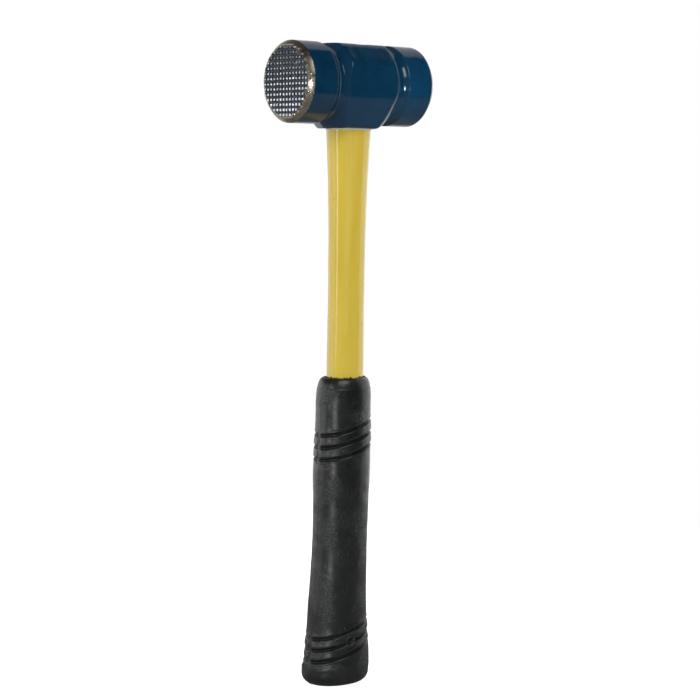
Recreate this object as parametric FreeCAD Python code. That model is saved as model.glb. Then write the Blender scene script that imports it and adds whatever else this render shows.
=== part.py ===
"""Dead blow hammer with a steel head, one checkered and one plain striking face.

A forged steel head body carries a handle eye in its middle and a blind bore in each end. Each bore holds a
thin steel canister partly filled with loose steel shot, and a steel face with a press-fit spigot closes it.
The handle is a round pultruded glass rod inside a moulded yellow jacket, bonded into the eye with resin over
a soft dam ring, and a black rubber grip with a closed butt covers its lower half.

Frame: origin on the flat of the butt, on the handle's axis; +Z up the handle to the head; +X towards the
plain face; -X towards the checkered face. Millimetres.
"""

import FreeCAD
import Part

import math
import os

Vector = FreeCAD.Vector
X_AXIS = Vector(1, 0, 0)
Y_AXIS = Vector(0, 1, 0)
Z_AXIS = Vector(0, 0, 1)

# Driving dimensions
OVERALL_LENGTH = 406.4  # 16 in, butt to top of head
HEAD_RADIUS = 25.4  # 2 in striking ends
HEAD_LENGTH = 101.6  # 4 in, face to face
TOOTH_PITCH = 3.175  # eight teeth to the inch
GRIP_TOP = 196.0
GRIP_FLOOR = 7.0  # thickness of the rubber under the handle's end
HANDLE_END_DROP = 4.4  # how far the handle's end stops below the top of the head

# Head
HEAD_AXIS_Z = OVERALL_LENGTH - HEAD_RADIUS
HALF_LENGTH = HEAD_LENGTH / 2
FACE_CHAMFER_LENGTH = 3.8
FACE_CHAMFER_WIDTH = 3.35
SEAM_X = HALF_LENGTH - FACE_CHAMFER_LENGTH  # where a face meets the head body
CHEEK_EDGE_X = 19.5  # where the cheek's shoulder cone is as wide as the striking ends
CHEEK_PEAK_RADIUS = 34.0  # beyond every corner of the cheek's section
NECK_X = 24.1  # middle of the turned groove between cheek and striking end
NECK_RADIUS = 22.9
NECK_ARC_RADIUS = 5.4  # the groove's hollow section
END_INNER_X = 28.0  # where the groove's hollow meets the striking end's rounded edge
EDGE_ROUND = 0.8
CHEEK_HALF_WIDTH = 25.4
CHEEK_SIDE_TOP = 11.9  # heights and widths from the head's axis
CHEEK_SIDE_BOTTOM = -8.0
CHEEK_TOP = 24.8
CHEEK_TOP_HALF = 12.5
BOSS_DROP = 28.5  # flat round the eye's lower mouth
BOSS_HALF_WIDTH = 15.0
CHEEK_CORNER_ROUND = 7.0

# Shot chambers
BORE_RADIUS = 19.05
BORE_FLOOR_X = 19.8
SPIGOT_RADIUS = 19.0
SPIGOT_LENGTH = 5.0
TOOTH_FLAT = 0.55  # side of the small flat on each tooth
CANISTER_WALL = 1.1
CANISTER_RADIUS = 18.9
AXIAL_PLAY = 0.1
SHOT_RADIUS = 4.76 / 2  # 3/16 in steel shot
SHOT_GAP = 0.1
SHOT_IN_ROW = 3
SHOT_LAYERS = 4
SHOT_COLUMNS = 8  # more than fit across the canister
SHOT_LIFT = 1.5  # height of the lowest row above the canister's lowest line

# Eye
EYE_BOTTOM = (15.7, 12.1)  # half length along X, half width along Y
EYE_WAIST = (15.5, 11.9)
EYE_TOP = (16.0, 12.1)
DAM_HEIGHT = 3.0
DAM_BEAD = 0.7
RESIN_DROP = 3.4  # resin stands this far below the top of the head, level with the mouth's low sides

# Handle
ROD_RADIUS = 7.0
JACKET_STATIONS = (  # height, half length along X, half width along Y
    (GRIP_FLOOR, 12.4, 9.4),
    (120.0, 12.5, 9.5),
    (GRIP_TOP, 12.6, 9.6),
    (262.0, 12.4, 9.4),
    (296.0, 12.8, 9.7),
    (319.0, 13.4, 10.2),
    (341.0, 14.5, 11.0),
    (354.0, 15.1, 11.5),
    (378.0, 14.9, 11.3),
    (OVERALL_LENGTH - HANDLE_END_DROP, 14.6, 11.0),
)

LOFT_STEPS = 22  # sections in each smooth loft
LOFT_DEGREE = 3

# Grip
GRIP_FLATNESS = 0.8  # half width along Y over half length along X
GRIP_STATIONS = (  # height, half length along X, lean of the centre towards -X
    (0.0, 22.2, 4.9),
    (10.0, 22.8, 4.7),
    (24.0, 21.5, 4.2),
    (40.0, 20.4, 4.0),
    (62.0, 19.4, 3.4),
    (98.0, 18.6, 2.2),
    (140.0, 19.3, 1.6),
    (166.0, 18.8, 1.2),
    (184.0, 18.5, 0.9),
    (GRIP_TOP, 17.5, 0.6),
)
BUTT_ROUND = 7.0
RIM_ROUND = 2.6
GROOVE_SLOPE = 0.265  # rise of a groove's plane towards +X
GROOVE_WIDTH = 1.8
GROOVE_DEPTH = 1.1
UPPER_GROOVE_Z = 165.3
UPPER_GROOVE_STEP = 7.7
LOWER_GROOVE_Z = 36.8
LOWER_GROOVE_STEP = 7.1
GROOVES_IN_BAND = 3


def ellipse_wire(height, half_x, half_y, centre_x=0.0):
    """A closed ellipse in a level plane, longer along X."""
    centre = Vector(centre_x, 0, height)
    curve = Part.Ellipse(centre, half_x, half_y)
    return Part.Wire(curve.toShape())


def ruled_loft(wires):
    return Part.makeLoft(wires, True, True)


def station_slopes(stations, column):
    """Rate of change at each station: the mean of the slopes on its two sides."""
    steps = [
        (after[column] - before[column]) / (after[0] - before[0])
        for before, after in zip(stations, stations[1:])
    ]
    inner = [(left + right) / 2 for left, right in zip(steps, steps[1:])]
    return [steps[0], *inner, steps[-1]]


def smooth_value(stations, column, height):
    """Value of a column at any height, by cubic curves that meet smoothly at the stations."""
    slopes = station_slopes(stations, column)
    last = len(stations) - 2
    place = max(i for i in range(last + 1) if i == 0 or stations[i][0] <= height)
    low, high = stations[place], stations[place + 1]
    span = high[0] - low[0]
    t = (height - low[0]) / span
    rise = high[column] - low[column]
    bend_in = slopes[place] * span - rise
    bend_out = rise - slopes[place + 1] * span
    return low[column] + t * rise + t * (1 - t) * ((1 - t) * bend_in + t * bend_out)


def smooth_loft(stations, ellipse_at):
    """Loft through evenly spaced ellipses; ellipse_at gives the wire at a height."""
    low, high = stations[0][0], stations[-1][0]
    heights = [low + (high - low) * number / LOFT_STEPS for number in range(LOFT_STEPS + 1)]
    return Part.makeLoft([ellipse_at(height) for height in heights], True, False, False, LOFT_DEGREE)


def revolve_about_head_axis(points):
    """A solid of revolution about the head's axis from (x, radius) corners, closed along the axis."""
    outline = [(points[0][0], 0.0), *points, (points[-1][0], 0.0)]
    corners = [Vector(x, 0, HEAD_AXIS_Z + radius) for x, radius in outline]
    face = Part.Face(Part.makePolygon(corners + [corners[0]]))
    return face.revolve(Vector(0, 0, HEAD_AXIS_Z), X_AXIS, 360)


def disc_along_head(x_low, x_high, radius):
    return Part.makeCylinder(radius, x_high - x_low, Vector(x_low, 0, HEAD_AXIS_Z), X_AXIS)


def mirrored(shape):
    """The same shape on the other side of the handle, along X."""
    return shape.mirror(Vector(0, 0, 0), X_AXIS)


def cheek_section():
    """Cross-section of the cheek: an octagon with a wider, lower boss at the eye's lower mouth."""
    half = (
        (CHEEK_TOP_HALF, CHEEK_TOP),
        (CHEEK_HALF_WIDTH, CHEEK_SIDE_TOP),
        (CHEEK_HALF_WIDTH, CHEEK_SIDE_BOTTOM),
        (BOSS_HALF_WIDTH, -BOSS_DROP),
    )
    outline = list(half) + [(-y, z) for y, z in reversed(half)]
    corners = [Vector(-CHEEK_PEAK_RADIUS, y, HEAD_AXIS_Z + z) for y, z in outline]
    return Part.Face(Part.makePolygon(corners + [corners[0]]))


def cheek():
    """Rounded octagonal block whose shoulders are turned to 45 degree cones."""
    block = cheek_section().extrude(X_AXIS * 2 * CHEEK_PEAK_RADIUS)
    long_edges = [e for e in block.Edges if e.BoundBox.XLength > CHEEK_PEAK_RADIUS]
    block = block.makeFillet(CHEEK_CORNER_ROUND, long_edges)
    cone_foot = CHEEK_EDGE_X + HEAD_RADIUS - NECK_RADIUS
    cone_top = CHEEK_EDGE_X + HEAD_RADIUS - CHEEK_PEAK_RADIUS
    turned = revolve_about_head_axis([
        (-cone_foot, NECK_RADIUS),
        (-cone_top, CHEEK_PEAK_RADIUS),
        (cone_top, CHEEK_PEAK_RADIUS),
        (cone_foot, NECK_RADIUS),
    ])
    return block.common(turned)


def neck_point(x):
    """Point of the turned groove's hollow section at x, above the head's axis."""
    drop = math.sqrt(NECK_ARC_RADIUS**2 - (x - NECK_X) ** 2)
    return Vector(x, 0, HEAD_AXIS_Z + NECK_RADIUS + NECK_ARC_RADIUS - drop)


def striking_end():
    """Neck and cylindrical end on the +X side, with the groove's hollow from neck to end."""
    axis_start = Vector(0, 0, HEAD_AXIS_Z)
    axis_end = Vector(SEAM_X, 0, HEAD_AXIS_Z)
    neck_start = Vector(0, 0, HEAD_AXIS_Z + NECK_RADIUS)
    land_start = Vector(END_INNER_X + EDGE_ROUND, 0, HEAD_AXIS_Z + HEAD_RADIUS)
    land_end = Vector(SEAM_X, 0, HEAD_AXIS_Z + HEAD_RADIUS)
    hollow = [neck_point(x) for x in (NECK_X, (NECK_X + END_INNER_X) / 2, END_INNER_X)]
    edges = [
        Part.makeLine(axis_start, neck_start),
        Part.makeLine(neck_start, hollow[0]),
        Part.Arc(*hollow).toShape(),
        Part.makeLine(hollow[2], land_start),
        Part.makeLine(land_start, land_end),
        Part.makeLine(land_end, axis_end),
        Part.makeLine(axis_end, axis_start),
    ]
    return Part.Face(Part.Wire(edges)).revolve(axis_start, X_AXIS, 360)


def eye_volume():
    """The handle's oval hole, narrowest at the head's axis so that the set resin locks in both ways."""
    bottom_z = HEAD_AXIS_Z - BOSS_DROP
    lower = ruled_loft([ellipse_wire(bottom_z, *EYE_BOTTOM), ellipse_wire(HEAD_AXIS_Z, *EYE_WAIST)])
    upper = ruled_loft([ellipse_wire(HEAD_AXIS_Z, *EYE_WAIST), ellipse_wire(OVERALL_LENGTH, *EYE_TOP)])
    return lower.fuse(upper)


def head_body():
    end = striking_end()
    bore = disc_along_head(BORE_FLOOR_X, SEAM_X, BORE_RADIUS)
    body = cheek().fuse([end, mirrored(end)])
    return body.cut([eye_volume(), bore, mirrored(bore)]).removeSplitter()


def face_blank():
    """Striking face on the +X side: bevelled disc with the spigot that closes the shot chamber."""
    return revolve_about_head_axis([
        (SEAM_X - SPIGOT_LENGTH, SPIGOT_RADIUS - EDGE_ROUND),
        (SEAM_X - SPIGOT_LENGTH + EDGE_ROUND, SPIGOT_RADIUS),
        (SEAM_X, SPIGOT_RADIUS),
        (SEAM_X, HEAD_RADIUS),
        (HALF_LENGTH, HEAD_RADIUS - FACE_CHAMFER_WIDTH),
    ])


def tooth_cutters(along_y):
    """Parallel 90 degree vee cutters across the -X face, one between each two rows of teeth."""
    half_width = (TOOTH_PITCH - TOOTH_FLAT) / 2
    rows = math.ceil(HEAD_RADIUS / TOOTH_PITCH)
    cutters = []
    for row in range(-rows + 1, rows):
        offset = row * TOOTH_PITCH
        mouth_x = -HALF_LENGTH - half_width
        section = [
            (mouth_x, offset - 2 * half_width),
            (mouth_x, offset + 2 * half_width),
            (-HALF_LENGTH + half_width, offset),
        ]
        if along_y:
            corners = [Vector(x, -HEAD_RADIUS, HEAD_AXIS_Z + side) for x, side in section]
            run = Y_AXIS * 2 * HEAD_RADIUS
        else:
            corners = [Vector(x, side, HEAD_AXIS_Z - HEAD_RADIUS) for x, side in section]
            run = Z_AXIS * 2 * HEAD_RADIUS
        cutters.append(Part.Face(Part.makePolygon(corners + [corners[0]])).extrude(run))
    return cutters


def checkered_face():
    """The -X face: rows of square steel teeth milled by two sets of crossing vee cuts."""
    face = mirrored(face_blank())
    for along_y in (True, False):
        face = face.cut(tooth_cutters(along_y))
    return face


def canister_span():
    """Low and high X of the canister on the +X side."""
    return BORE_FLOOR_X + AXIAL_PLAY, SEAM_X - SPIGOT_LENGTH - AXIAL_PLAY


def canister_cup():
    low, high = canister_span()
    outer = disc_along_head(low, high - CANISTER_WALL, CANISTER_RADIUS)
    hollow = disc_along_head(low + CANISTER_WALL, high, CANISTER_RADIUS - CANISTER_WALL)
    return outer.cut(hollow)


def canister_lid():
    high = canister_span()[1]
    return disc_along_head(high - CANISTER_WALL, high, CANISTER_RADIUS)


def shot_charge():
    """Loose shot settled in the lower part of the canister, in close-packed rows along X."""
    low, high = canister_span()
    middle_x = (low + high) / 2
    reach = CANISTER_RADIUS - CANISTER_WALL - SHOT_RADIUS - SHOT_GAP
    pitch = 2 * SHOT_RADIUS + SHOT_GAP
    layer_height = pitch * math.sqrt(3) / 2
    xs = [middle_x + (place - (SHOT_IN_ROW - 1) / 2) * pitch for place in range(SHOT_IN_ROW)]
    balls = []
    for layer in range(SHOT_LAYERS):
        z = SHOT_LIFT - reach + layer * layer_height
        half_chord = math.sqrt(reach**2 - z**2)
        shift = 0.5 * (layer % 2)  # each layer lies in the hollows of the one below
        ys = [(column + shift) * pitch for column in range(-SHOT_COLUMNS, SHOT_COLUMNS)]
        centres = [Vector(x, y, HEAD_AXIS_Z + z) for y in ys if abs(y) < half_chord for x in xs]
        balls += [Part.makeSphere(SHOT_RADIUS, centre) for centre in centres]
    return Part.makeCompound(balls)


def handle_rod():
    top = OVERALL_LENGTH - HANDLE_END_DROP
    return Part.makeCylinder(ROD_RADIUS, top - GRIP_FLOOR, Vector(0, 0, GRIP_FLOOR), Z_AXIS)


def jacket_volume():
    def ellipse_at(height):
        half_x = smooth_value(JACKET_STATIONS, 1, height)
        half_y = smooth_value(JACKET_STATIONS, 2, height)
        return ellipse_wire(height, half_x, half_y)

    return smooth_loft(JACKET_STATIONS, ellipse_at)


def handle_jacket():
    return jacket_volume().cut(handle_rod())


def level_slab(low, high):
    """Everything between two heights, wide enough for the handle and the eye."""
    half = 2 * HEAD_RADIUS
    return Part.makeBox(2 * half, 2 * half, high - low, Vector(-half, -half, low))


def resin_dam():
    """Soft ring round the jacket that keeps the poured resin in the eye, with a bead under the head."""
    bottom_z = HEAD_AXIS_Z - BOSS_DROP
    plug = eye_volume().common(level_slab(bottom_z, bottom_z + DAM_HEIGHT))
    bead = ruled_loft([
        ellipse_wire(bottom_z - DAM_BEAD, EYE_BOTTOM[0] - 0.2, EYE_BOTTOM[1] - 0.2),
        ellipse_wire(bottom_z, *EYE_BOTTOM),
    ])
    return plug.fuse(bead).cut(jacket_volume()).removeSplitter()


def eye_resin():
    bottom_z = HEAD_AXIS_Z - BOSS_DROP + DAM_HEIGHT
    fill = eye_volume().common(level_slab(bottom_z, OVERALL_LENGTH - RESIN_DROP))
    return fill.cut(jacket_volume())


def grip_volume(inset=0.0):
    """The grip's outer form, or the same form taken in by inset."""
    def ellipse_at(height):
        half_x = smooth_value(GRIP_STATIONS, 1, height)
        lean = smooth_value(GRIP_STATIONS, 2, height)
        return ellipse_wire(height, half_x - inset, half_x * GRIP_FLATNESS - inset, -lean)

    return smooth_loft(GRIP_STATIONS, ellipse_at)


def rounded_grip():
    grip = grip_volume()
    for height, radius in ((0.0, BUTT_ROUND), (GRIP_TOP, RIM_ROUND)):
        rim = [e for e in grip.Edges if e.BoundBox.ZLength < 0.01 and abs(e.BoundBox.ZMin - height) < 0.01]
        grip = grip.makeFillet(radius, rim)
    return grip


def groove_cutter(height):
    """A slanting ring groove: the part of the grip's skin between two close tilted planes."""
    half = 2 * HEAD_RADIUS
    slab = Part.makeBox(2 * half, 2 * half, GROOVE_WIDTH, Vector(-half, -half, -GROOVE_WIDTH / 2))
    slab.rotate(Vector(0, 0, 0), Y_AXIS, -math.degrees(math.atan(GROOVE_SLOPE)))
    slab.translate(Vector(0, 0, height))
    return slab.cut(grip_volume(GROOVE_DEPTH))


def grip():
    sleeve = rounded_grip().cut(jacket_volume()).cut(handle_rod())
    for start, step in ((UPPER_GROOVE_Z, UPPER_GROOVE_STEP), (LOWER_GROOVE_Z, LOWER_GROOVE_STEP)):
        for number in range(GROOVES_IN_BAND):
            sleeve = sleeve.cut(groove_cutter(start - number * step))
    return sleeve


def build():
    """Every sub-part by node name."""
    cup = canister_cup()
    lid = canister_lid()
    shot = shot_charge()
    front_shot = shot.copy()
    front_shot.translate(X_AXIS * -sum(canister_span()))
    return {
        "head_body": head_body(),
        "checkered_face": checkered_face(),
        "plain_face": face_blank(),
        "front_canister_cup": mirrored(cup),
        "front_canister_lid": mirrored(lid),
        "front_shot": front_shot,
        "rear_canister_cup": cup,
        "rear_canister_lid": lid,
        "rear_shot": shot,
        "eye_resin": eye_resin(),
        "resin_dam": resin_dam(),
        "handle_rod": handle_rod(),
        "handle_jacket": handle_jacket(),
        "grip": grip(),
    }


os.makedirs("parts", exist_ok=True)
for node, shape in build().items():
    solids = shape.Solids
    exact = solids[0] if len(solids) == 1 else Part.makeCompound(solids)
    exact.exportStep(f"parts/{node}.step")
    print(f"{node}: {len(solids)} solids, {exact.Volume / 1000:.2f} cm3, valid {exact.isValid()}")
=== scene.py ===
import math

import bmesh
import bpy
import numpy as np
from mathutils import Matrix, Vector


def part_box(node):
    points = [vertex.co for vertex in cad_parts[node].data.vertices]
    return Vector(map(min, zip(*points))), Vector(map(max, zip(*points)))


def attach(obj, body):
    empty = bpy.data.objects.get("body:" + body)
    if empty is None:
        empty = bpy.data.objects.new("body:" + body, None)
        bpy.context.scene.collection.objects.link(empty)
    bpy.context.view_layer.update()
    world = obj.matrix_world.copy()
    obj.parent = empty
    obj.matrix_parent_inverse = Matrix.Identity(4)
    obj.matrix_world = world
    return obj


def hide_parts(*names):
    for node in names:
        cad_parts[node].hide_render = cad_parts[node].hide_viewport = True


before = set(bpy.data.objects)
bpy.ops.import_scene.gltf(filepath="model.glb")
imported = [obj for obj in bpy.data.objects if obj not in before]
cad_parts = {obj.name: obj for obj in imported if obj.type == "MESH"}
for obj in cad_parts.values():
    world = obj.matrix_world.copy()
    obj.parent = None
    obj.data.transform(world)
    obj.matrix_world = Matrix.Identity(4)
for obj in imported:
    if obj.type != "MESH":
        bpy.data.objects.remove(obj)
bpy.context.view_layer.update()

mm = 0.001
headLow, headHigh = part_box("head_body")
faceLow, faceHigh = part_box("plain_face")
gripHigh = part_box("grip")[1]
jacketLow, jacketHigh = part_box("handle_jacket")
resinLow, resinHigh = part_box("eye_resin")
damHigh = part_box("resin_dam")[1]

headZ = (faceLow.z + faceHigh.z) / 2  # height of the head's axis
headRadius = (faceHigh.z - faceLow.z) / 2
seamX = headHigh.x  # where the faces meet the painted body
endX = faceHigh.x
wellOutside = 40 * mm  # beyond every corner of the head's section
print("frame loaded, head axis at", round(headZ, 4))


# shapes

# value at each place by cubic curves through the points, the slope at a point being the mean of its two sides
def smoothCurve(places, values, at):
    places, values, at = (np.asarray(v, float) for v in (places, values, at))
    steps = np.diff(values) / np.diff(places)
    slopes = np.concatenate([steps[:1], (steps[1:] + steps[:-1]) / 2, steps[-1:]])
    i = np.clip(np.searchsorted(places, at, side="right") - 1, 0, len(steps) - 1)
    span = places[i + 1] - places[i]
    t = np.clip((at - places[i]) / span, 0, 1)
    rise = values[i + 1] - values[i]
    bend = (1 - t) * (slopes[i] * span - rise) + t * (rise - slopes[i + 1] * span)
    return values[i] + t * rise + t * (1 - t) * bend


# 0 below the first edge, 1 above the second, and a smooth S between them
def ramp(edge0, edge1, value):
    t = np.clip((value - edge0) / (edge1 - edge0), 0, 1)
    return t * t * (3 - 2 * t)


# the smaller of two values, rounded where they are closer than the blend
def softMin(a, b, blend):
    near = np.maximum(blend - np.abs(a - b), 0)
    return np.minimum(a, b) - near * near / (4 * blend)


# slow unevenness: a sum of sine waves with seeded directions, between about -1 and 1
def unevenness(along, around, wavesAlong, wavesAround, seed, count=9):
    rng = np.random.default_rng(seed)
    total = 0
    for k in range(count):
        pace = rng.uniform(0.4, 1.6) * wavesAlong
        turns = rng.integers(0, wavesAround + 1)
        total = total + np.sin(pace * along + turns * around + rng.uniform(0, 2 * math.pi))
    return total / math.sqrt(count * 2)


# mesh from corner points and faces, turned inside out if its volume comes out negative
def solidFrom(name, points, faces):
    a, b, c = (points[faces[:, k]] for k in (0, 1, 2))
    volume = np.einsum("ij,ij->i", a, np.cross(b, c)).sum()
    if faces.shape[1] == 4:
        d = points[faces[:, 3]]
        volume += np.einsum("ij,ij->i", a, np.cross(c, d)).sum()
    if volume < 0:
        faces = faces[:, ::-1]
    mesh = bpy.data.meshes.new(name)
    mesh.from_pydata(points.tolist(), [], faces.tolist())
    mesh.validate()
    piece = bpy.data.objects.new(name, mesh)
    bpy.context.scene.collection.objects.link(piece)
    return piece


# closed solid from rings of points: neighbours are joined by quads, and the first and last ring run to
# their middle points
def ringSolid(name, rings):
    count, around = rings.shape[:2]
    rings = np.concatenate([
        np.broadcast_to(rings[0].mean(0), (1, around, 3)),
        rings,
        np.broadcast_to(rings[-1].mean(0), (1, around, 3)),
    ])
    here = np.arange(count + 1)[:, None] * around + np.arange(around)
    following = np.arange(count + 1)[:, None] * around + (np.arange(around) + 1) % around
    quads = np.stack([here, following, following + around, here + around], -1).reshape(-1, 4)
    piece = solidFrom(name, rings.reshape(-1, 3), quads)
    weld(piece)
    return piece


# joins points that lie on one spot, such as the middles of a ring solid's ends
def weld(piece):
    work = bmesh.new()
    work.from_mesh(piece.data)
    bmesh.ops.remove_doubles(work, verts=work.verts, dist=0.002 * mm)
    work.to_mesh(piece.data)
    work.free()


# rings round the head's axis from places along X and radii, one radius or one for each angle
def headRings(xs, radii, angles):
    radii = np.broadcast_to(np.asarray(radii).reshape(len(xs), -1), (len(xs), len(angles)))
    xs = np.broadcast_to(np.asarray(xs)[:, None], radii.shape)
    return np.stack([xs, radii * np.cos(angles), headZ + radii * np.sin(angles)], -1)


# rings round the handle's axis: superellipses |x/a|^n + |y/b|^n = 1 at the given heights, shifted along X
def ovalRings(heights, halfX, halfY, angles, power=2.0, shiftX=0.0):
    count = len(heights)
    heights, halfX, halfY, shiftX = (
        np.broadcast_to(np.asarray(v, float), (count,))[:, None] for v in (heights, halfX, halfY, shiftX)
    )
    c, s = np.cos(angles), np.sin(angles)
    x = halfX * np.sign(c) * np.abs(c) ** (2 / power) + shiftX
    y = halfY * np.sign(s) * np.abs(s) ** (2 / power)
    return np.stack([x, y, heights + 0 * x], -1)


# the piece's mesh after a Boolean with a helper solid, which is then thrown away
def cutWith(piece, tool, operation):
    cut = piece.modifiers.new("cut", "BOOLEAN")
    cut.object = tool
    cut.operation = operation
    cut.solver = "EXACT"
    bpy.context.view_layer.update()
    done = bpy.data.meshes.new_from_object(piece.evaluated_get(bpy.context.evaluated_depsgraph_get()))
    piece.modifiers.clear()
    piece.data = done
    bpy.data.objects.remove(tool)


# smooth shading with sharp edges only where faces meet at more than the angle
def shade(piece, sharpAngle=30):
    piece.data.shade_smooth()
    piece.data.set_sharp_from_angle(angle=math.radians(sharpAngle))


# gives a finished piece its material, the body it moves with and the node it stands for
def place(piece, node, material):
    piece.data.materials.clear()
    piece.data.materials.append(material)
    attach(piece, "hammer")
    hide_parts(node)
    print("piece", piece.name, "with", len(piece.data.polygons), "faces")


# materials

# sRGB hex to linear colour
def colour(hexValue):
    parts = [int(hexValue[i:i + 2], 16) / 255 for i in (1, 3, 5)]
    return [p / 12.92 if p <= 0.04045 else ((p + 0.055) / 1.055) ** 2.4 for p in parts] + [1.0]


# adds a node and returns one of its outputs, or all with out=None: inputs are values or links by socket,
# stops are a colour ramp's positions with a hex colour or a grey value each
def addNode(tree, kind, inputs=None, stops=None, out=0, **settings):
    node = tree.nodes.new("ShaderNode" + kind)
    for key, value in settings.items():
        setattr(node, key, value)
    for key, value in (inputs or {}).items():
        if isinstance(value, bpy.types.NodeSocket):
            tree.links.new(value, node.inputs[key])
        else:
            node.inputs[key].default_value = value
    if stops:
        while len(node.color_ramp.elements) < len(stops):
            node.color_ramp.elements.new(0.5)
        for element, (position, value) in zip(node.color_ramp.elements, stops):
            element.position = position
            element.color = colour(value) if isinstance(value, str) else (value, value, value, 1)
    return node.outputs if out is None else node.outputs[out]


# a new material with its tree, its Principled shader's inputs, some of them set, and Object coordinates
def newMaterial(name, **shaderInputs):
    material = bpy.data.materials.new(name)
    material.use_nodes = True
    tree = material.node_tree
    shader = tree.nodes["Principled BSDF"].inputs
    for key, value in shaderInputs.items():
        shader[key.replace("_", " ")].default_value = value
    return material, tree, shader, addNode(tree, "TexCoord", out="Object")


# sprayed gloss enamel over forged steel: deep blue and mirror-like, with a slight orange peel and a few
# dust nibs, and tiny chips down to the steel where the paint ends at the striking faces
def makeHeadEnamel():
    material, tree, shader, coords = newMaterial("blue gloss enamel, sprayed", IOR=1.5)
    cloud = addNode(tree, "TexNoise", {"Vector": coords, "Scale": 1 / (12 * mm), "Detail": 3.0})
    paint = addNode(tree, "ValToRGB", {0: cloud}, [(0.3, "#042940"), (0.7, "#073049")])
    spot = addNode(tree, "SeparateXYZ", {0: coords}, out=None)
    reach = addNode(tree, "Math", {0: spot["X"]}, operation="ABSOLUTE")
    rim = addNode(tree, "MapRange", {0: reach, 1: seamX - 0.8 * mm, 2: seamX - 0.1 * mm})
    fray = addNode(tree, "TexNoise", {"Vector": coords, "Scale": 1 / (1.4 * mm), "Detail": 3.0})
    worn = addNode(tree, "Math", {0: rim, 1: fray}, operation="MULTIPLY")
    bare = addNode(tree, "ValToRGB", {0: worn}, [(0.46, 0.0), (0.52, 1.0)])
    tone = addNode(tree, "Mix", {0: bare, 6: paint, 7: colour("#8f8a80")}, out=2, data_type="RGBA")
    haze = addNode(tree, "TexNoise", {"Vector": coords, "Scale": 1 / (5 * mm), "Detail": 4.0})
    gloss = addNode(tree, "ValToRGB", {0: haze}, [(0.35, 0.06), (0.75, 0.14)])
    rough = addNode(tree, "Mix", {0: bare, 6: gloss, 7: (0.35, 0.35, 0.35, 1)}, out=2, data_type="RGBA")
    peel = addNode(tree, "TexNoise", {"Vector": coords, "Scale": 1 / (2.6 * mm), "Detail": 1.0})
    bump = addNode(tree, "Bump", {"Height": peel, "Distance": 0.012 * mm, "Strength": 1.0})
    sag = addNode(tree, "TexNoise", {"Vector": coords, "Scale": 1 / (9 * mm), "Detail": 0.0})
    bump = addNode(tree, "Bump", {"Height": sag, "Distance": 0.05 * mm, "Strength": 1.0, "Normal": bump})
    nibs = addNode(tree, "TexVoronoi", {"Vector": coords, "Scale": 1 / (6 * mm)})
    nib = addNode(tree, "ValToRGB", {0: nibs}, [(0.0, 1.0), (0.06, 0.0)])
    bump = addNode(tree, "Bump", {"Height": nib, "Distance": 0.08 * mm, "Strength": 1.0, "Normal": bump})
    tree.links.new(tone, shader["Base Color"])
    tree.links.new(bare, shader["Metallic"])
    tree.links.new(rough, shader["Roughness"])
    tree.links.new(bump, shader["Normal"])
    return material


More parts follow.
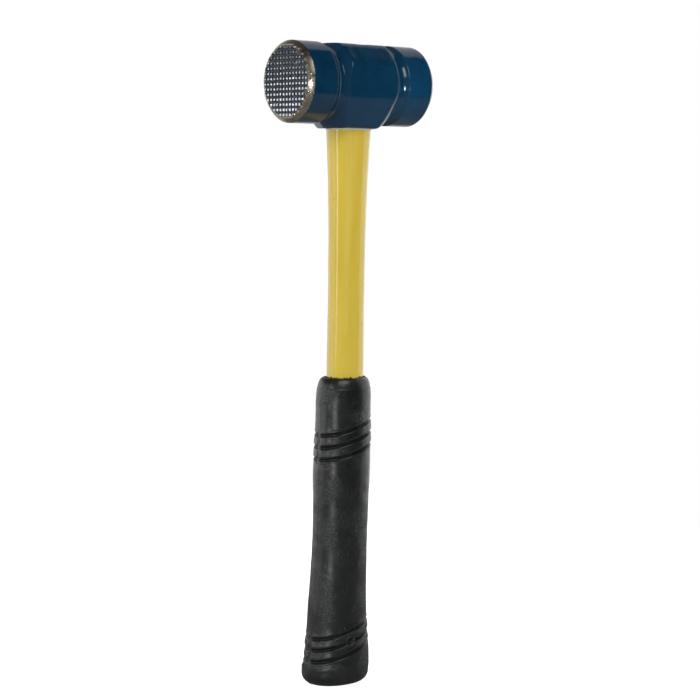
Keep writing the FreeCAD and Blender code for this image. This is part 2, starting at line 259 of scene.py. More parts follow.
# machined steel: a browned bevel with fine turned rings; on the toothed one, ground tips that are barest
# lower down and carry a painted highlight, whitish lower down and dimming to brown as painted shade towards
# the top, over dark blue paint left on the flanks and in the bottoms of the cuts
def makeFaceSteel(toothed):
    name = "bright steel, milled teeth" if toothed else "bright steel, turned face"
    material, tree, shader, coords = newMaterial(name, Metallic=1.0)
    centred = addNode(tree, "VectorMath", {0: coords, 1: (0, 0, headZ)}, operation="SUBTRACT")
    spot = addNode(tree, "SeparateXYZ", {0: centred}, out=None)
    flat = addNode(tree, "CombineXYZ", {"X": 0.0, "Y": spot["Y"], "Z": spot["Z"]})
    radius = addNode(tree, "VectorMath", {0: flat}, out="Value", operation="LENGTH")
    stain = addNode(tree, "TexNoise", {"Vector": coords, "Scale": 1 / (7 * mm), "Detail": 5.0})
    tone = addNode(tree, "ValToRGB", {0: stain}, [(0.3, "#8d8374"), (0.55, "#9d9384"), (0.75, "#aea597")])
    ring = addNode(tree, "Math", {0: radius, 1: 1 / (0.5 * mm)}, operation="MULTIPLY")
    along = addNode(tree, "CombineXYZ", {"X": ring, "Y": 0.0, "Z": 0.0})
    turned = addNode(tree, "TexNoise", {"Vector": along, "Scale": 1.0, "Detail": 2.0})
    bump = addNode(tree, "Bump", {"Height": turned, "Distance": 0.012 * mm, "Strength": 1.0})
    smear = addNode(tree, "TexNoise", {"Vector": coords, "Scale": 1 / (2.5 * mm), "Detail": 3.0})
    rough = addNode(tree, "ValToRGB", {0: smear}, [(0.3, 0.25), (0.75, 0.34)])
    if toothed:
        depth = addNode(tree, "Math", {0: spot["X"], 1: endX}, operation="ADD")
        patchy = addNode(tree, "TexNoise", {"Vector": coords, "Scale": 1 / (1.7 * mm), "Detail": 3.0})
        lower = addNode(tree, "MapRange", {0: spot["Z"], 1: -headRadius, 2: headRadius, 3: -0.1, 4: 0.42})
        level = addNode(tree, "Math", {0: depth, 1: 1 / (1.2 * mm), 2: lower}, operation="MULTIPLY_ADD")
        level = addNode(tree, "Math", {0: patchy, 1: 0.5, 2: level}, operation="MULTIPLY_ADD")
        paint = addNode(tree, "ValToRGB", {0: level}, [(0.6, 0.0), (0.78, 1.0)])
        field = face["fieldRadius"]
        limits = {0: radius, 1: field - 0.4 * mm, 2: field + 0.1 * mm, 3: 1.0, 4: 0.0}
        inside = addNode(tree, "MapRange", limits)
        mask = addNode(tree, "Math", {0: paint, 1: inside}, operation="MULTIPLY")
        # painted highlight and shade: the bare tips go from whitish low on the face to a dim brown towards
        # the top, standing in for how light falls on them, mixed with the stain's random tone
        upward = addNode(tree, "MapRange", {0: spot["Z"], 1: -headRadius, 2: headRadius, 3: 0.0, 4: 0.6})
        stainAndPaintedShade = addNode(tree, "Math", {0: stain, 1: 0.5, 2: upward}, operation="MULTIPLY_ADD")
        tip = addNode(tree, "ValToRGB", {0: stainAndPaintedShade}, [(0.4, "#e6e8ec"), (0.75, "#8f877c")])
        tone = addNode(tree, "Mix", {0: inside, 6: tone, 7: tip}, out=2, data_type="RGBA")
        tone = addNode(tree, "Mix", {0: mask, 6: tone, 7: colour("#081a2c")}, out=2, data_type="RGBA")
        metal = addNode(tree, "Math", {0: 1.0, 1: mask}, operation="SUBTRACT")
        tree.links.new(metal, shader["Metallic"])
    tree.links.new(tone, shader["Base Color"])
    tree.links.new(rough, shader["Roughness"])
    tree.links.new(bump, shader["Normal"])
    return material


# glossy moulded jacket over glass fibre: warm yellow, with long soft ripples down the mould, flow streaks
# and a few specks
def makeJacketPlastic():
    material, tree, shader, coords = newMaterial(
        "yellow gloss polypropylene, moulded", IOR=1.49, Subsurface_Weight=0.05, Subsurface_Scale=0.002
    )
    drawn = addNode(tree, "Mapping", {"Vector": coords, "Scale": (1, 1, 0.14)})
    flow = addNode(tree, "TexNoise", {"Vector": drawn, "Scale": 1 / (8 * mm), "Detail": 4.0})
    tone = addNode(tree, "ValToRGB", {0: flow}, [(0.3, "#c4aa3c"), (0.5, "#cab043"), (0.72, "#cdb54e")])
    specks = addNode(tree, "TexVoronoi", {"Vector": coords, "Scale": 1 / (14 * mm)})
    speck = addNode(tree, "ValToRGB", {0: specks}, [(0.022, 1.0), (0.03, 0.0)])
    tone = addNode(tree, "Mix", {0: speck, 6: tone, 7: colour("#8a7430")}, out=2, data_type="RGBA")
    scuff = addNode(tree, "TexNoise", {"Vector": drawn, "Scale": 1 / (2.4 * mm), "Detail": 4.0})
    gloss = addNode(tree, "ValToRGB", {0: scuff}, [(0.35, 0.14), (0.8, 0.26)])
    ripple = addNode(tree, "TexNoise", {"Vector": drawn, "Scale": 1 / (6 * mm), "Detail": 1.0})
    bump = addNode(tree, "Bump", {"Height": ripple, "Distance": 0.08 * mm, "Strength": 1.0})
    tree.links.new(tone, shader["Base Color"])
    tree.links.new(gloss, shader["Roughness"])
    tree.links.new(bump, shader["Normal"])
    return material


# satin moulded rubber: near black with a broad soft gloss, fine grain, and a patchy rash of small pits
# and pale scuffs
def makeGripRubber():
    material, tree, shader, coords = newMaterial("black rubber, moulded", IOR=1.52)
    cloud = addNode(tree, "TexNoise", {"Vector": coords, "Scale": 1 / (11 * mm), "Detail": 4.0})
    tone = addNode(tree, "ValToRGB", {0: cloud}, [(0.3, "#0e0f10"), (0.7, "#151718")])
    patch = addNode(tree, "TexNoise", {"Vector": coords, "Scale": 1 / (16 * mm), "Detail": 1.0})
    rash = addNode(tree, "ValToRGB", {0: patch}, [(0.46, 0.0), (0.6, 1.0)])
    crumb = {"Vector": coords, "Scale": 1 / (1.1 * mm), "Detail": 3.0, "Roughness": 0.65}
    crumbs = addNode(tree, "TexNoise", crumb)
    scuff = addNode(tree, "ValToRGB", {0: crumbs}, [(0.55, 0.0), (0.68, 0.6)])
    pale = addNode(tree, "Math", {0: scuff, 1: rash}, operation="MULTIPLY")
    tone = addNode(tree, "Mix", {0: pale, 6: tone, 7: colour("#3a3d3f")}, out=2, data_type="RGBA")
    sheen = addNode(tree, "TexNoise", {"Vector": coords, "Scale": 1 / (3 * mm), "Detail": 4.0})
    gloss = addNode(tree, "ValToRGB", {0: sheen}, [(0.3, 0.26), (0.75, 0.4)])
    grain = addNode(tree, "TexNoise", {"Vector": coords, "Scale": 1 / (0.8 * mm), "Detail": 3.0})
    bump = addNode(tree, "Bump", {"Height": grain, "Distance": 0.04 * mm, "Strength": 1.0})
    pits = addNode(tree, "Math", {0: crumbs, 1: rash}, operation="MULTIPLY")
    bump = addNode(tree, "Bump", {"Height": pits, "Distance": 0.35 * mm, "Strength": 1.0, "Normal": bump})
    lumps = addNode(tree, "TexNoise", {"Vector": coords, "Scale": 1 / (6 * mm), "Detail": 2.0})
    bump = addNode(tree, "Bump", {"Height": lumps, "Distance": 0.14 * mm, "Strength": 1.0, "Normal": bump})
    tree.links.new(tone, shader["Base Color"])
    tree.links.new(gloss, shader["Roughness"])
    tree.links.new(bump, shader["Normal"])
    return material


# cast epoxy: dark amber, glossy, with small bubbles
def makeResin():
    material, tree, shader, coords = newMaterial("epoxy, cast amber", IOR=1.55)
    swirl = addNode(tree, "TexNoise", {"Vector": coords, "Scale": 1 / (6 * mm), "Detail": 3.0})
    tone = addNode(tree, "ValToRGB", {0: swirl}, [(0.3, "#5a4119"), (0.7, "#7a5c26")])
    film = addNode(tree, "TexNoise", {"Vector": coords, "Scale": 1 / (2 * mm), "Detail": 2.0})
    gloss = addNode(tree, "ValToRGB", {0: film}, [(0.3, 0.12), (0.7, 0.22)])
    bubbles = addNode(tree, "TexVoronoi", {"Vector": coords, "Scale": 1 / (1.8 * mm)})
    pits = addNode(tree, "ValToRGB", {0: bubbles}, [(0.0, 0.0), (0.22, 1.0)])
    bump = addNode(tree, "Bump", {"Height": pits, "Distance": 0.12 * mm, "Strength": 1.0})
    tree.links.new(tone, shader["Base Color"])
    tree.links.new(gloss, shader["Roughness"])
    tree.links.new(bump, shader["Normal"])
    return material


# for what is plain all through, such as foam, drawn steel, shot and fibre: one grain gives the tone, the
# roughness and the bump
def makeGrained(name, tones, roughness, grainMm, depthMm, metallic=0.0, stretch=(1, 1, 1)):
    material, tree, shader, coords = newMaterial(name, Metallic=metallic)
    spread = addNode(tree, "Mapping", {"Vector": coords, "Scale": stretch})
    grain = addNode(tree, "TexNoise", {"Vector": spread, "Scale": 1 / (grainMm * mm), "Detail": 3.0})
    tone = addNode(tree, "ValToRGB", {0: grain}, [(0.3, tones[0]), (0.7, tones[1])])
    gloss = addNode(tree, "ValToRGB", {0: grain}, [(0.3, roughness[0]), (0.7, roughness[1])])
    bump = addNode(tree, "Bump", {"Height": grain, "Distance": depthMm * mm, "Strength": 1.0})
    tree.links.new(tone, shader["Base Color"])
    tree.links.new(gloss, shader["Roughness"])
    tree.links.new(bump, shader["Normal"])
    return material


# head: turned ends and necks, and a cheek of flat sides with 45 degree shoulders

head = {
    "neckX": 24.1 * mm,
    "neckRadius": 22.9 * mm,
    "neckArc": 5.4 * mm,  # radius of the hollow between neck and striking end
    "shoulderX": 19.5 * mm,  # where the shoulder cone is as wide as the ends
    "edgeBlend": 0.9 * mm,
    "cheekBlend": (0.3 * mm, 4.0 * mm),  # rounding of the shoulders, and of the lower corners towards +X
    "rimRound": 0.35 * mm,
    "forgedWave": 0.02 * mm,
    # cheek's sides: degrees up from level, mm from the axis
    "sides": [(90, 24.8), (45, 26.4), (0, 25.4), (-26.9, 26.3), (-90, 28.5)],
    "cornerSharpness": 30,
    "boreRadius": 19.05 * mm,
    "boreFloorX": 19.8 * mm,
    # mm: height, half length, half width
    "eye": [(352.5, 15.7, 12.1), (381.0, 15.5, 11.9), (406.4, 16.0, 12.1)],
    "mouthFlare": 0.3 * mm,
}


# radius of the cheek's rounded polygon at each angle: the sum of (cos(angle to side) / distance) ^ p over
# the sides, raised to -1 / p
def cheekRadius(angles):
    p = head["cornerSharpness"]
    total = 0
    for elevation, distance in head["sides"]:
        for facing in {math.radians(elevation), math.pi - math.radians(elevation)}:
            total = total + (np.maximum(np.cos(angles - facing), 0) / (distance * mm)) ** p
    return total ** (-1 / p)


# turned radius along the head: past the neck's middle a hollow arc up to the end cylinder, before it the
# flat neck and the shoulder's cone, each pair joined by a small blend
def turnedRadius(x):
    reach = np.abs(x)
    off = np.clip(reach - head["neckX"], 0, head["neckArc"])
    hollow = head["neckRadius"] + head["neckArc"] - np.sqrt(head["neckArc"] ** 2 - off ** 2)
    outside = softMin(hollow, headRadius, head["edgeBlend"])
    cone = headRadius + head["shoulderX"] - reach
    inside = -softMin(-cone, -head["neckRadius"], head["edgeBlend"] / 3)
    return np.where(reach > head["neckX"], outside, np.minimum(inside, wellOutside))


# a grid of places along the head by angles round it: the softly smaller of the turned radius and the cheek's
# polygon, closed round the rims and down the bores, with the eye cut through
def makeHead():
    angles = np.linspace(0, 2 * math.pi, 320, endpoint=False)
    rim = head["rimRound"]
    # places along the head, closest together at the shoulder and groove
    half = np.concatenate([
        np.linspace(0, 12, 20, endpoint=False),
        np.linspace(12, 30, 90, endpoint=False),
        np.linspace(30, 46, 12),
    ]) * mm
    xs = np.concatenate([-half[:0:-1], half])
    turned = turnedRadius(xs)[:, None] + 0 * angles
    # the cheek's polygon is let out past the neck, where only the turned shape counts
    cheek = cheekRadius(angles)[None, :] + ramp(22 * mm, 24 * mm, np.abs(xs))[:, None] * wellOutside
    low, high = head["cheekBlend"]
    soft = ramp(-0.1, -0.7, np.sin(angles)) * ramp(0, 6 * mm, xs)[:, None]
    outer = softMin(turned, cheek, low + (high - low) * soft)
    outer += unevenness(xs[:, None] / mm, angles, 0.5, 5, seed=3) * head["forgedWave"]
    turns = np.linspace(0, math.pi / 2, 5)
    rimX = seamX - rim + rim * np.sin(turns)
    rimR = headRadius - rim + rim * np.cos(turns)
    closeX = np.append(rimX, [seamX, head["boreFloorX"]])  # round the rim, over the end and down the bore
    closeR = np.append(rimR, [head["boreRadius"]] * 2)
    xs = np.concatenate([-closeX[::-1], xs, closeX])
    radii = np.concatenate([closeR[::-1, None] + 0 * angles, outer, closeR[:, None] + 0 * angles])
    piece = ringSolid("headForging", headRings(xs, radii, angles))
    eyeZ, eyeX, eyeY = np.array(head["eye"]).T * mm
    flare = head["mouthFlare"]
    heights = np.array([
        eyeZ[0] - 4 * flare, eyeZ[0], eyeZ[0] + flare, eyeZ[1], eyeZ[2] - 5 * flare, eyeZ[2] + 2 * mm
    ])
    widen = np.array([4.5, 0.5, 0, 0, 0, 0]) * flare  # at the lower mouth only
    halfX = np.interp(heights, eyeZ, eyeX) + widen
    halfY = np.interp(heights, eyeZ, eyeY) + widen
    around = np.linspace(0, 2 * math.pi, 160, endpoint=False)
    eye = ringSolid("eyeCutter", ovalRings(heights, halfX, halfY, around))
    cutWith(piece, eye, "DIFFERENCE")
    shade(piece, 40)
    place(piece, "head_body", makeHeadEnamel())


makeHead()


# faces: bevelled steel discs with a spigot; the -X one is cut by two sets of vee grooves

face = {
    "bevelLength": 3.8 * mm,
    "bevelWidth": 3.35 * mm,
    "spigotRadius": 19.0 * mm,
    "spigotLength": 5.0 * mm,
    "edgeRound": 0.18 * mm,
    "toothPitch": 3.175 * mm,
    "toothFlat": 0.55 * mm,
    "toothWear": 0.09 * mm,  # the most that a tip is worn down
    "plateDepth": 8 * mm,  # how far the cutting plate reaches in from the seam
    "fieldRadius": headRadius - 3.35 * mm,
}


# outline of a face from spigot tip to the middle of the striking face: distance beyond the seam, radius
def faceOutline():
    e = face["edgeRound"]
    inner = headRadius - face["bevelWidth"]
    return np.array([
        (-face["spigotLength"], face["spigotRadius"] - 0.8 * mm),
        (-face["spigotLength"] + 0.8 * mm, face["spigotRadius"]),
        (0, face["spigotRadius"]),
        (0, headRadius - e),
        (e * 0.4, headRadius - e * 0.4),
        (e * 1.4, headRadius - e * 0.9),
        (face["bevelLength"] - e, inner + e * 0.9),
        (face["bevelLength"] - e * 0.3, inner + e * 0.2),
        (face["bevelLength"], inner - e * 0.5),
        (face["bevelLength"], inner * 0.5),
    ])


# a face's outline turned round the head's axis, on the -1 or the +1 side
def makeDisc(name, side):
    outline = faceOutline()
    angles = np.linspace(0, 2 * math.pi, 256, endpoint=False)
    return ringSolid(name, headRings(side * (seamX + outline[:, 0]), outline[:, 1], angles))


# depth of one set of vee grooves, one pitch apart: half the cut's width less the distance from its middle
# line, rounded a little at the bottom and at the edges
def grooveDepth(t):
    cut = (face["toothPitch"] - face["toothFlat"]) / 2
    fromMiddle = np.abs((t / face["toothPitch"] + 0.5) % 1 - 0.5) * face["toothPitch"]
    fromMiddle = np.sqrt(fromMiddle ** 2 + (0.1 * mm) ** 2)
    return -softMin(fromMiddle - cut, 0, 0.12 * mm)


# the disc, cut by a plate whose depth over a grid of Y and Z is the deeper of two crossing sets of grooves
def makeToothedFace():
    disc = makeDisc("checkeredFace", -1)
    half = np.array([0.1, 0.5, 0.9, 1.21, 1.36]) * mm  # closer together at the edges of the cut
    across = (np.arange(-9, 10)[:, None] * face["toothPitch"] + np.concatenate([-half[::-1], half])).ravel()
    y, z = np.meshgrid(across, across, indexing="ij")
    depth = np.maximum(grooveDepth(y), grooveDepth(z))
    rng = np.random.default_rng(11)
    tooth = np.floor(across / face["toothPitch"]).astype(int) + 10
    wear = rng.uniform(0, 1, (20, 20))[np.ix_(tooth, tooth)] * face["toothWear"]
    depth = np.maximum(depth, wear)
    top = np.stack([-endX + depth, y, headZ + z], -1)
    n = len(across)
    here = (np.arange(n - 1)[:, None] * n + np.arange(n - 1)).ravel()
    corners = np.stack([here, here + n, here + n + 1, here + 1], -1)
    # each square splits along the line that runs up the nearest tooth's corner
    towards = (np.sign(y[:-1, :-1] % face["toothPitch"] - face["toothPitch"] / 2)
               * np.sign(z[:-1, :-1] % face["toothPitch"] - face["toothPitch"] / 2)).ravel() > 0
    first = np.where(towards[:, None], corners[:, [0, 1, 2]], corners[:, [0, 1, 3]])
    second = np.where(towards[:, None], corners[:, [0, 2, 3]], corners[:, [1, 2, 3]])
    back = top.copy()
    back[..., 0] = -seamX + face["plateDepth"]
    edge = np.concatenate([np.arange(n), np.arange(1, n) * n + n - 1, n * n - 2 - np.arange(n - 1),
                           (n - 2 - np.arange(n - 2)) * n])
    after = np.roll(edge, -1)
    skirt = np.concatenate([
        np.stack([edge, after, after + n * n], -1), np.stack([edge, after + n * n, edge + n * n], -1)
    ])
    under = np.concatenate([first, second])[:, ::-1] + n * n
    faces = np.concatenate([first, second, skirt, under])
    plate = solidFrom("toothPlate", np.concatenate([top.reshape(-1, 3), back.reshape(-1, 3)]), faces)
    cutWith(disc, plate, "INTERSECT")
    shade(disc, 32)
    place(disc, "checkered_face", makeFaceSteel(True))


makeToothedFace()
plainFace = makeDisc("plainFace", 1)
shade(plainFace, 25)
place(plainFace, "plain_face", makeFaceSteel(False))


# handle jacket: oval, waisted above the grip and flaring into the eye

jacket = {
    "heights": [7, 120, 196, 262, 296, 319, 341, 354, 378, 402],
    "halfX": [12.4, 12.5, 12.6, 12.4, 12.8, 13.4, 14.5, 15.1, 14.9, 14.6],
    "halfY": [9.4, 9.5, 9.6, 9.4, 9.7, 10.2, 11.0, 11.5, 11.3, 11.0],
    "power": 2.12,
    "waviness": 0.05 * mm,
}


# half length or half width of the handle at each height: a smooth curve through its stations
def jacketHalf(axis, heights):
    return smoothCurve(jacket["heights"], jacket[axis], np.asarray(heights) / mm) * mm


# superellipse rings up the handle, moved in and out by a slow wave
def makeJacket():
    angles = np.linspace(0, 2 * math.pi, 144, endpoint=False)
    heights = np.linspace(jacketLow.z, jacketHigh.z, 420)
    halfX, halfY = jacketHalf("halfX", heights), jacketHalf("halfY", heights)
    rings = ovalRings(heights, halfX, halfY, angles, jacket["power"])
    wave = unevenness(heights[:, None] / mm, angles, 0.22, 4, seed=8) * jacket["waviness"]
    out = np.stack([np.cos(angles), np.sin(angles)], -1)
    rings[..., :2] += wave[..., None] * out
    piece = ringSolid("handleJacket", rings)
    shade(piece, 50)
    place(piece, "handle_jacket", makeJacketPlastic())


makeJacket()


# grip: leaning oval sleeve with a closed butt, two bands of slanting ring grooves and a mould parting line

grip = {
    # mm: height, half length along X, lean of the middle towards -X
    "stations": [
        (7, 22.8, 4.8), (12, 22.9, 4.5), (18.5, 22.4, 4.3), (26, 21.3, 4.25), (36, 20.7, 4.2),
        (46, 20.15, 4.0), (67, 19.2, 3.2), (98, 18.6, 2.25), (119, 18.9, 1.9), (140, 19.35, 1.7),
        (152, 19.1, 1.4), (168, 18.75, 1.15), (186, 18.3, 0.9), (191, 17.75, 0.75), (194.4, 16.6, 0.65),
        (196, 15.3, 0.6), (196.5, 14.2, 0.55),
    ],
    "flatness": 0.8,
    "power": 2.1,
    "buttRound": 7.0 * mm,
    "bands": [(165.3, 7.7), (36.8, 7.1)],  # mm: highest groove's height on the axis, step down to the next
    "slope": 0.285,
    "grooveDepth": 1.3 * mm,
    "gate": (-5.9, 28.8),  # mm: place along X and height of the mould gate's scar on the front
    "gatePit": (1.5, 2.2 * mm),  # radius in mm, depth
    "gateRing": (2.9, 0.55),  # mm: radius and half width of the uneven lip round the pit
    "gateReach": 3.9,  # mm: the grooves are nearly filled this close to the gate
    "flash": (0.28 * mm, 0.14 * mm),  # half width and height along the parting line
    "nub": (0.7 * mm, 0.8 * mm),  # the same at the butt's corner
    "waviness": 0.05 * mm,
    "raggedRim": 0.9 * mm,
}


# 1 inside the two grooved bands and 0 well away from them, at each height in mm
def bandShare(v):
    share = 0
    for top, step in grip["bands"]:
        low, high = top - 2 * step, top
        share = share + ramp(low - 12, low - 4, v) * (1 - ramp(high + 5, high + 14, v))
    return share


# depth of the ring grooves at each height v in mm: a gentle upper side, a steep lower side, small lips
# along both and a bulge between grooves
def ringGrooves(v):
    depth = 0
    for top, step in grip["bands"]:
        for k in range(3):
            d = v - (top - k * step)
            depth = depth + ramp(-0.75, -0.1, d) * (1 - ramp(0.15, 1.9, d)) * grip["grooveDepth"]
            depth = depth - 0.16 * mm * (np.exp(-((d + 1.3) / 0.6) ** 2) + np.exp(-((d - 2.4) / 0.9) ** 2))
        inBand = ramp(top - 2 * step, top - 2 * step + 2, v) * (1 - ramp(top - 2, top, v))
        depth = depth - inBand * 0.22 * mm * (1 - np.cos(2 * math.pi * (v - top) / step))
    return depth


# superellipse rings up the leaning middle, tilted within the bands, pushed in by the grooves and the gate's
# pit and out by the flash, then the quarter-round of the butt and the socket for the handle
def makeGrip():
    z, halfX, lean = np.array(grip["stations"]).T
    spread = np.linspace(0, 2 * math.pi, 240, endpoint=False)
    angles = spread - 0.3 * np.sin(2 * spread)  # closer together at the parting line
    grooves = [top - k * step for top, step in grip["bands"] for k in range(3)]
    # heights in mm, closer together at the rim, round the gate and across each groove
    v = np.concatenate([np.arange(z[0], 188, 1.2), np.arange(188, 196.4, 0.4), np.arange(26.6, 34.6, 0.3)]
                       + [np.arange(g - 2.2, g + 3.2, 0.27) for g in grooves])
    v = np.unique(np.round(v, 2))
    half = smoothCurve(z, halfX, v)
    middle = -smoothCurve(z, lean, v)
    # the collar's small step below the rim
    half = half + 0.18 * (1 - ramp(189.4, 189.9, v)) * ramp(170, 189, v)
    rings = ovalRings(v, half, half * grip["flatness"], angles, grip["power"], middle)
    rings[..., 2] += bandShare(v)[:, None] * grip["slope"] * rings[..., 0]
    rings *= mm
    # grooves fade out in round ends at the parting line, where a thin flash stands proud
    fromSeam = np.abs(rings[..., 1])
    carve = ringGrooves(v)[:, None] * ramp(0.7 * mm, 2.0 * mm, fromSeam)
    wide, proud = grip["flash"]
    flash = np.exp(-(fromSeam / wide) ** 2) * proud
    uneven = unevenness(v[:, None], angles, 0.35, 6, seed=21) * grip["waviness"]
    gateX, gateZ = grip["gate"]
    aside = np.hypot(rings[..., 0] / mm - gateX, rings[..., 2] / mm - gateZ)
    front = rings[..., 1] < 0
    lip = 0.5 + 0.8 * unevenness(rings[..., 2] / mm, angles, 3, 30, seed=6)
    pitRadius, pitDepth = grip["gatePit"]
    ringRadius, ringWidth = grip["gateRing"]
    pit = np.exp(-(aside / pitRadius) ** 4) * pitDepth
    scar = front * (pit - np.exp(-((aside - ringRadius) / ringWidth) ** 2) * lip * mm)
    carve = np.where(front & (aside < grip["gateReach"]), carve * 0.2, carve)
    push = flash + uneven - carve - scar
    out = np.stack([np.cos(angles) * grip["flatness"], np.sin(angles)], -1)
    out /= np.linalg.norm(out, axis=-1, keepdims=True)
    rings[..., :2] += push[..., None] * out
    # butt: a quarter-round from the side to the flat, then the inside of the sleeve down to its floor
    turns = np.linspace(0, math.pi / 2, 14, endpoint=False)
    bend = grip["buttRound"] / mm
    low = z[0] - bend * np.cos(turns)
    inset = bend * (1 - np.sin(turns))
    flatY = halfX[0] * grip["flatness"]
    butt = ovalRings(low, halfX[0] - inset, flatY - inset, angles, grip["power"], -lean[0]) * mm
    wide, proud = grip["nub"]
    nub = np.exp(-(butt[..., 1] / wide) ** 2) * np.sin(turns * 2)[:, None] ** 3 * proud
    butt[..., :2] += nub[..., None] * out
    ragged = unevenness(0, angles, 1, 60, seed=5, count=18) * grip["raggedRim"]
    inner = []
    for height, gap in ((gripHigh.z + 0.3 * mm, 0.25 * mm), (gripHigh.z - 1.5 * mm, 0), (jacketLow.z, 0)):
        ring = ovalRings([height], jacketHalf("halfX", [height]) + gap, jacketHalf("halfY", [height]) + gap,
                         angles, jacket["power"])
        inner.append(ring)
    inner[0][..., 2] += ragged
    piece = ringSolid("gripSleeve", np.concatenate([butt, rings] + inner))
    shade(piece, 40)
    place(piece, "grip", makeGripRubber())


makeGrip()


# resin in the eye, dished between handle end and mouth, and the soft ring under it

resin = {"meniscus": 0.5 * mm, "dish": 0.35 * mm, "gap": 0.02 * mm}


# half length and half width of the eye at each height, straight between its stations
def eyeHalf(heights):
    eyeZ, eyeX, eyeY = np.array(head["eye"]).T * mm
    return np.interp(heights, eyeZ, eyeX), np.interp(heights, eyeZ, eyeY)


# down round the handle from its end, out to the eye's wall and up to the top: there the resin climbs the wall
# by a meniscus that dies off exponentially, and its middle is dished as a parabola
def makeResinFill():
    angles = np.linspace(0, 2 * math.pi, 128, endpoint=False)
    handleTop = jacketHigh.z
    inner = [
        ovalRings([h], jacketHalf("halfX", [h]), jacketHalf("halfY", [h]), angles, jacket["power"])
        for h in np.linspace(handleTop, resinLow.z, 12)
    ]
    outerZ = np.array([resinLow.z, headZ, resinHigh.z - 1 * mm, resinHigh.z + resin["meniscus"]])
    outerX, outerY = eyeHalf(outerZ)
    outer = ovalRings(outerZ, outerX - resin["gap"], outerY - resin["gap"], angles)
    share = np.linspace(1, 0.08, 14)[1:]
    topX, topY = eyeHalf(np.full(len(share), resinHigh.z))
    sag = resin["meniscus"] * np.exp((share - 1) * 14) - resin["dish"] * (1 - share ** 2)
    top = ovalRings(resinHigh.z + sag, topX * share, topY * share, angles)
    piece = ringSolid("eyeResin", np.concatenate(inner + [outer, top]))
    shade(piece, 60)
    place(piece, "eye_resin", makeResin())


dam = {"bead": 0.1 * mm, "roll": 0.15 * mm, "squeeze": 0.02 * mm}


# soft ring: straight outside down to a rounded bead at the mouth, and up again along the handle
def makeDam():
    angles = np.linspace(0, 2 * math.pi, 128, endpoint=False)
    mouthX, mouthY = eyeHalf(np.array([headLow.z]))
    turns = np.linspace(0, math.pi / 2, 5)
    heights = np.append(damHigh.z, headLow.z - dam["bead"] * np.sin(turns))
    inset = np.append(0, dam["roll"] * (np.cos(turns) - 1))
    outer = ovalRings(heights, mouthX + inset, mouthY + inset, angles)
    innerZ = np.array([headLow.z - dam["bead"], damHigh.z])
    inner = ovalRings(innerZ, jacketHalf("halfX", innerZ) - dam["squeeze"],
                      jacketHalf("halfY", innerZ) - dam["squeeze"], angles, jacket["power"])
    around = np.concatenate([outer, inner, outer[:1]])
    here = np.arange(len(around) - 1)[:, None] * len(angles) + np.arange(len(angles))
    following = np.roll(here, -1, axis=1)
    quads = np.stack([here, following, following + len(angles), here + len(angles)], -1).reshape(-1, 4)
    piece = solidFrom("resinDam", around.reshape(-1, 3), quads)
    weld(piece)
    shade(piece, 60)
    foam = makeGrained("pale foam, cut", ("#b9b49a", "#d3cfb8"), (0.75, 0.95), 0.8, 0.2)
    place(piece, "resin_dam", foam)


makeResinFill()
makeDam()


# pieces shut inside keep their own shapes and get a finish

drawnSteel = makeGrained(
    "sheet steel, deep drawn", ("#8b8b8a", "#a3a2a0"), (0.28, 0.4), 1.2, 0.01, 1.0, stretch=(0.2, 1, 1)
)
castShot = makeGrained("steel shot, cast", ("#5d5c5b", "#7a7876"), (0.4, 0.6), 0.8, 0.03, 1.0)
glassFibre = makeGrained(
    "glass fibre rod, pultruded", ("#bdb893", "#d2cdab"), (0.4, 0.55), 0.5, 0.02, stretch=(1, 1, 0.05)
)
innerFinishes = {
    "front_canister_cup": drawnSteel, "front_canister_lid": drawnSteel,
    "rear_canister_cup": drawnSteel, "rear_canister_lid": drawnSteel,
    "front_shot": castShot, "rear_shot": castShot, "handle_rod": glassFibre,
}
for node, finish in innerFinishes.items():
    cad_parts[node].data.materials.clear()
    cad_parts[node].data.materials.append(finish)
print("inner pieces finished")


# studio: pale paper floor, a room bright behind and to the right and dim in front, soft boxes, and three
# small lamps that each put a highlight on one piece

studio = {
    "floorHalf": 0.62,
    "floorTones": ("#f4f4f2", "#f7f7f6"),
    "floorGlow": 0.85,
    "floorInReflections": "#9a9a98",
    "roomBehind": 0.55,
    "roomBehindLeft": 1.7,
    "roomRight": 1.4,
    "roomLeft": 0.14,
    "roomFront": 0.03,
    "lamps": [
        # name, degrees round from the front, height, distance, width, tall, brightness, spread in
        # degrees, x and height it is aimed at, whether it shows in glossy surfaces, the one piece it
        # lights or None for all
        ("left strip", -78, 0.49, 1.1, 0.14, 0.74, 8.0, 180, (0, 0.4), True, None),
        ("left fill", -104, 0.85, 1.2, 0.6, 0.5, 4.6, 180, (0, 0.2), False, None),
        ("front fill", -3, 0.30, 1.0, 0.5, 0.3, 11.5, 180, (0, 0.25), False, None),
        ("high box", -12, 1.3, 1.2, 0.9, 0.7, 4.5, 180, (0, 0.2), True, None),
        ("low box", -50, 0.075, 0.55, 0.15, 0.26, 5.0, 180, (0, 0.1), True, "gripSleeve"),
        ("face lamp", -44, 0.275, 1.1, 0.1, 0.07, 260.0, 10, (0, 0.455), True, "checkeredFace"),
        ("neck lamp", -3, 0.285, 1.0, 0.12, 0.24, 150.0, 10, (0.1, 0.41), True, "headForging"),
    ],
}


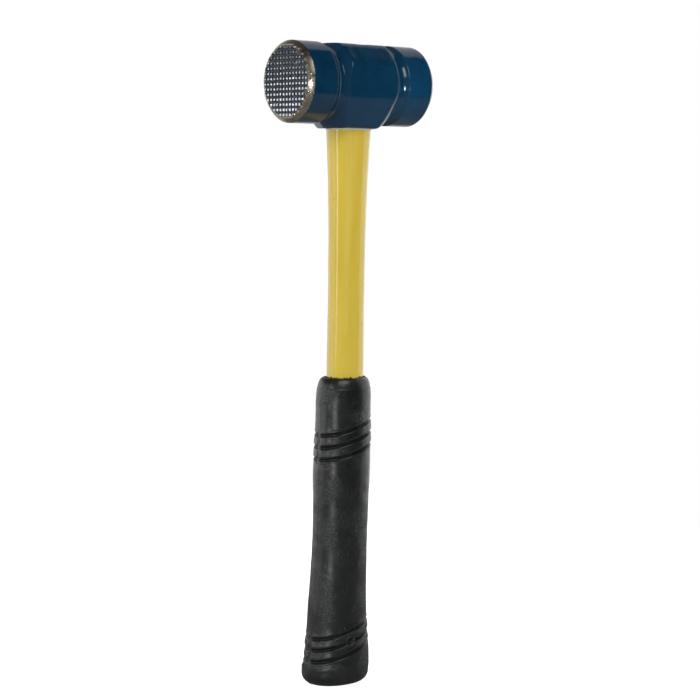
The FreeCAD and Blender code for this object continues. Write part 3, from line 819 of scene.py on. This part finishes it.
# matt paper that glows for the camera, so that it runs into the room without a line, and looks duller in
# reflections
def makeFloor():
    half = studio["floorHalf"]
    mesh = bpy.data.meshes.new("studioFloor")
    corners = [(-half, -half, 0), (half, -half, 0), (half, half, 0), (-half, half, 0)]
    mesh.from_pydata(corners, [], [(0, 1, 2, 3)])
    floor = bpy.data.objects.new("studioFloor", mesh)
    bpy.context.scene.collection.objects.link(floor)
    material, tree, shader, coords = newMaterial("studio paper, matt", Roughness=0.9)
    fibres = addNode(tree, "TexNoise", {"Vector": coords, "Scale": 1 / (400 * mm), "Detail": 1.0})
    low, high = studio["floorTones"]
    paper = addNode(tree, "ValToRGB", {0: fibres}, [(0.3, low), (0.7, high)])
    seen = addNode(tree, "LightPath", out="Is Camera Ray")
    dull = colour(studio["floorInReflections"])
    tone = addNode(tree, "Mix", {0: seen, 6: dull, 7: paper}, out=2, data_type="RGBA")
    glow = addNode(tree, "Math", {0: seen, 1: studio["floorGlow"]}, operation="MULTIPLY")
    shader["Emission Color"].default_value = (1, 1, 1, 1)
    tree.links.new(tone, shader["Base Color"])
    tree.links.new(glow, shader["Emission Strength"])
    floor.data.materials.append(material)


# the room by direction: bright where y + 3.3 (x - 0.63) is above 0.15, except high up on the left, a
# faint fill on the front left and nearly dark on the front right; the camera sees it white
def makeRoom():
    world = bpy.data.worlds.new("paleRoom")
    bpy.context.scene.world = world
    world.use_nodes = True
    tree = world.node_tree
    direction = addNode(tree, "TexCoord", out="Generated")
    x, y, z = addNode(tree, "SeparateXYZ", {0: direction}, out=None)
    beyond = addNode(tree, "MapRange", {0: x, 1: 0.63, 2: 0.93, 3: 0.0, 4: 1.0})
    depth = addNode(tree, "Math", {0: y, 1: beyond}, operation="ADD")
    behind = addNode(tree, "MapRange", {0: depth, 1: 0.08, 2: 0.22}, interpolation_type="SMOOTHSTEP")
    high = addNode(tree, "MapRange", {0: z, 1: 0.3, 2: 0.5}, interpolation_type="SMOOTHSTEP")
    leftward = addNode(tree, "MapRange", {0: x, 1: 0.4, 2: 0.1}, interpolation_type="SMOOTHSTEP")
    hole = addNode(tree, "Math", {0: high, 1: leftward}, operation="MULTIPLY")
    middle, leftEnd = studio["roomBehind"], studio["roomBehindLeft"]
    side = addNode(tree, "MapRange", {0: x, 1: 0.3, 2: -0.2, 3: middle, 4: leftEnd})
    side = addNode(tree, "MapRange", {0: beyond, 1: 0.1, 2: 0.6, 3: side, 4: studio["roomRight"]})
    kept = addNode(tree, "MapRange", {0: hole, 3: side, 4: 0.12})
    back = addNode(tree, "Math", {0: behind, 1: kept}, operation="MULTIPLY")
    left = addNode(tree, "MapRange", {0: x, 1: 0.3, 2: -0.1, 3: studio["roomFront"], 4: studio["roomLeft"]})
    lid = addNode(tree, "MapRange", {0: z, 1: 0.35, 2: 0.85, 3: 1.0, 4: 0.3})
    front = addNode(tree, "Math", {0: left, 1: lid}, operation="MULTIPLY")
    notBehind = addNode(tree, "Math", {0: 1.0, 1: behind}, operation="SUBTRACT")
    room = addNode(tree, "Math", {0: front, 1: notBehind, 2: back}, operation="MULTIPLY_ADD")
    seen = addNode(tree, "LightPath", out="Is Camera Ray")
    shown = addNode(tree, "MapRange", {0: seen, 3: room, 4: 1.0})
    tree.links.new(shown, tree.nodes["Background"].inputs["Color"])


# an area lamp at its place round the object, turned to its target; its power is brightness x area x pi,
# times the share that a narrower spread lets out, the squared sine of its half
def makeLamp(name, around, height, distance, width, tall, brightness, spread, target, shines, onlyLit):
    turn = math.radians(around)
    data = bpy.data.lights.new(name, "AREA")
    data.shape = "RECTANGLE"
    data.size, data.size_y = width, tall
    data.energy = brightness * width * tall * math.pi * math.sin(math.radians(spread) / 2) ** 2
    data.spread = math.radians(spread)
    lamp = bpy.data.objects.new(name, data)
    bpy.context.scene.collection.objects.link(lamp)
    lamp.location = (distance * math.sin(turn), -distance * math.cos(turn), height)
    aim = Vector((target[0], 0, target[1])) - lamp.location
    lamp.rotation_euler = aim.to_track_quat("-Z", "Y").to_euler()
    lamp.visible_camera = False
    lamp.visible_glossy = shines
    if onlyLit:
        lit = bpy.data.collections.new("lit by " + name)
        lit.objects.link(bpy.data.objects[onlyLit])
        lamp.light_linking.receiver_collection = lit


makeFloor()
makeRoom()
for lampSettings in studio["lamps"]:
    makeLamp(*lampSettings)
print("studio lit")


# camera: degrees round from the front and up, tilt of the picture, distance in metres, lens in mm

view = {
    "around": -39.14, "up": 5.0, "tilt": 0.85, "distance": 1.274, "target": (3.82 * mm, 0, 213.26 * mm),
    "lens": 102.86,
}


# stands back from the target along the direction given by the two angles, with the picture turned by the tilt
def makeCamera():
    around, up, tilt = (math.radians(view[k]) for k in ("around", "up", "tilt"))
    back = Vector((math.sin(around) * math.cos(up), -math.cos(around) * math.cos(up), math.sin(up)))
    data = bpy.data.cameras.new("viewCamera")
    data.lens, data.sensor_width = view["lens"], 36
    camera = bpy.data.objects.new("viewCamera", data)
    bpy.context.scene.collection.objects.link(camera)
    camera.location = Vector(view["target"]) + back * view["distance"]
    level = back.to_track_quat("Z", "Y").to_matrix()
    right, upward = level.col[0], level.col[1]
    turned = level.copy()
    turned.col[0] = right * math.cos(tilt) + upward * math.sin(tilt)
    turned.col[1] = upward * math.cos(tilt) - right * math.sin(tilt)
    camera.rotation_euler = turned.to_euler()
    bpy.context.scene.camera = camera


makeCamera()
bpy.context.scene.view_settings.view_transform = "Standard"
